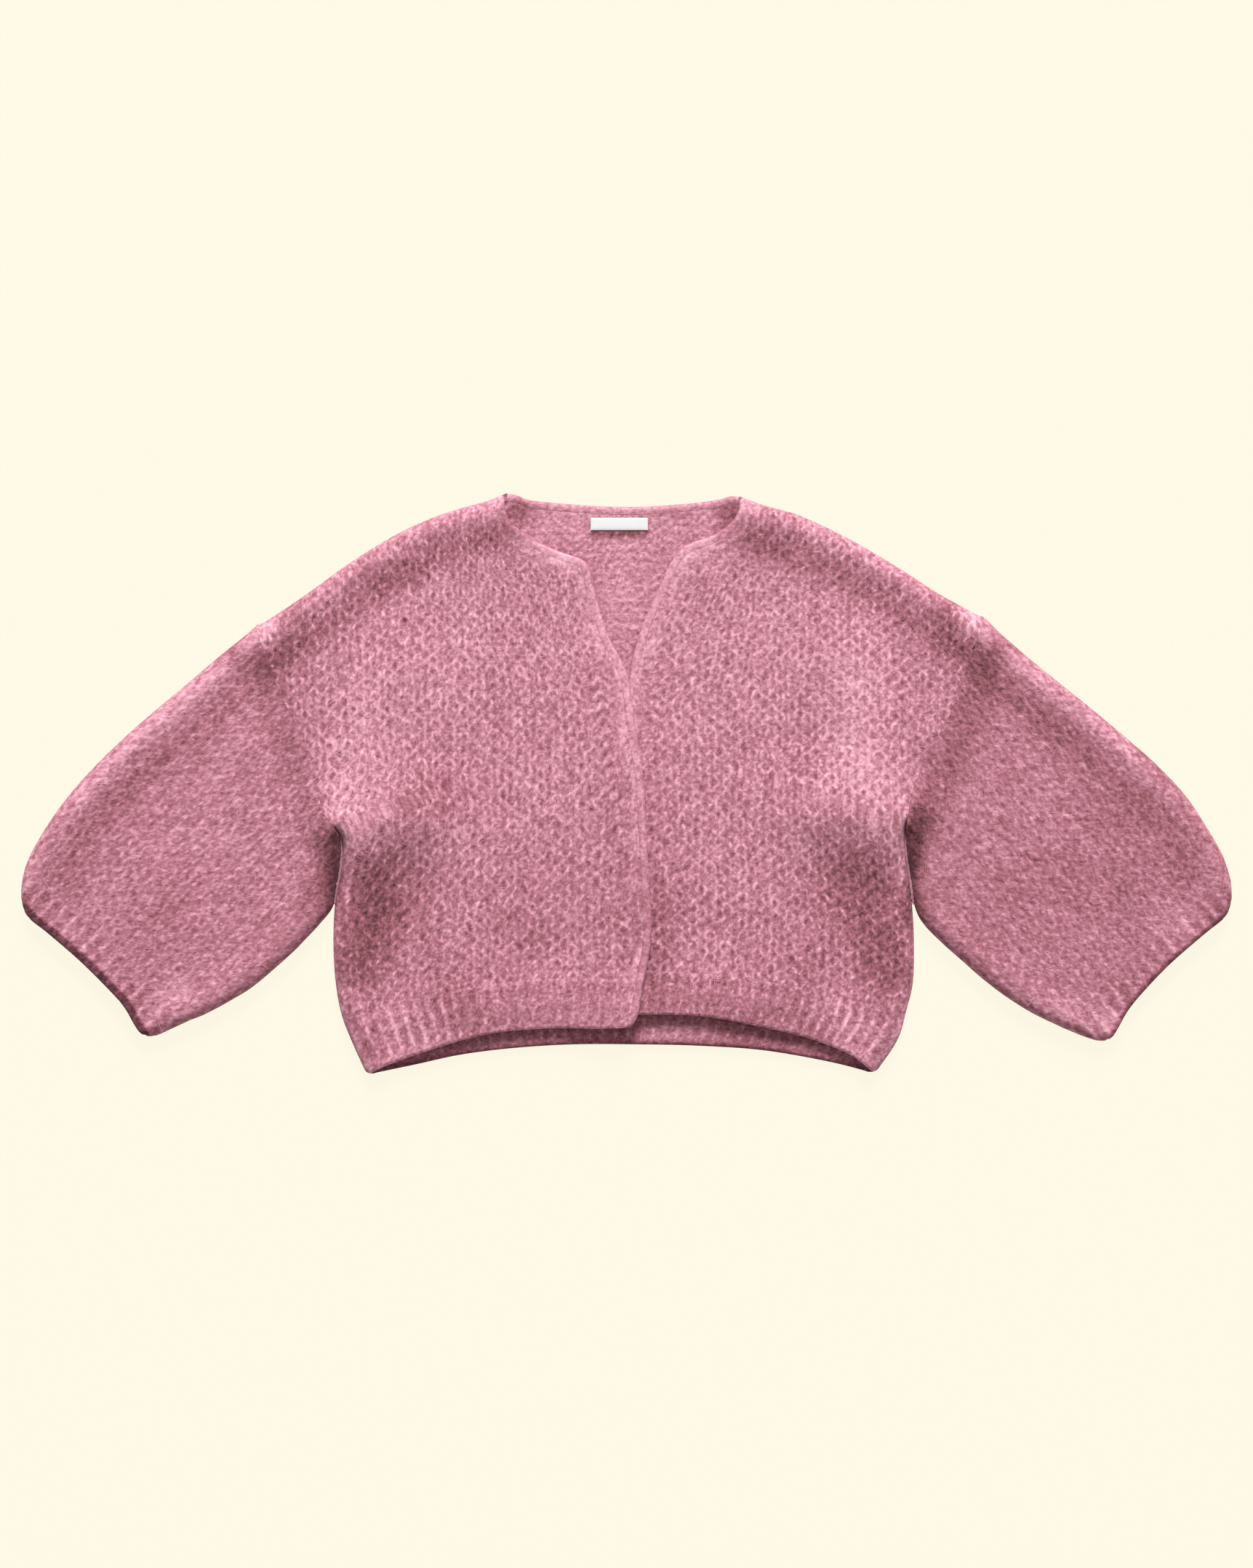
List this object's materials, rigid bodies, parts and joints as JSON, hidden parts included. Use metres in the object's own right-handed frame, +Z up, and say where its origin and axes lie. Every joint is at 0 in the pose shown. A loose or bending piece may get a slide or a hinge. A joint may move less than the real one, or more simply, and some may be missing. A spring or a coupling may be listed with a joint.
{
  "type": "mohair cardigan",
  "caption": "Cropped chunky mohair cardigan with wide drop-shoulder sleeves, rolled edging and ribbed hem and cuffs, laid out flat with its fronts overlapping.",
  "frame": {"origin": "on the surface that the cardigan lies on, under the middle of its bounding box", "axes": "+X from the wearer's right sleeve to the left one, +Y from the hem to the neck, +Z up from the surface out of the fronts"},
  "size_m": [1.0823, 0.5201, 0.0265],
  "materials": {
    "back_panel": "brushed mohair knit",
    "back_hem": "brushed mohair rib",
    "back_neck_band": "brushed mohair rolled edging",
    "right_front_panel": "brushed mohair knit",
    "right_front_hem": "brushed mohair rib",
    "right_front_band": "brushed mohair rolled edging",
    "left_front_panel": "brushed mohair knit",
    "left_front_hem": "brushed mohair rib",
    "left_front_band": "brushed mohair rolled edging",
    "right_sleeve": "brushed mohair knit",
    "right_cuff": "brushed mohair rib",
    "left_sleeve": "brushed mohair knit",
    "left_cuff": "brushed mohair rib",
    "neck_label": "woven ribbon, bare"
  },
  "bodies": {
    "root": {"back_panel": "back_panel", "back_hem": "back_hem", "back_neck_band": "back_neck_band", "right_front_panel": "right_front_panel", "right_front_hem": "right_front_hem", "right_front_band": "right_front_band", "left_front_panel": "left_front_panel", "left_front_hem": "left_front_hem", "left_front_band": "left_front_band", "right_sleeve": "right_sleeve", "right_cuff": "right_cuff", "left_sleeve": "left_sleeve", "left_cuff": "left_cuff", "neck_label": "neck_label"}
  },
  "joints": []
}
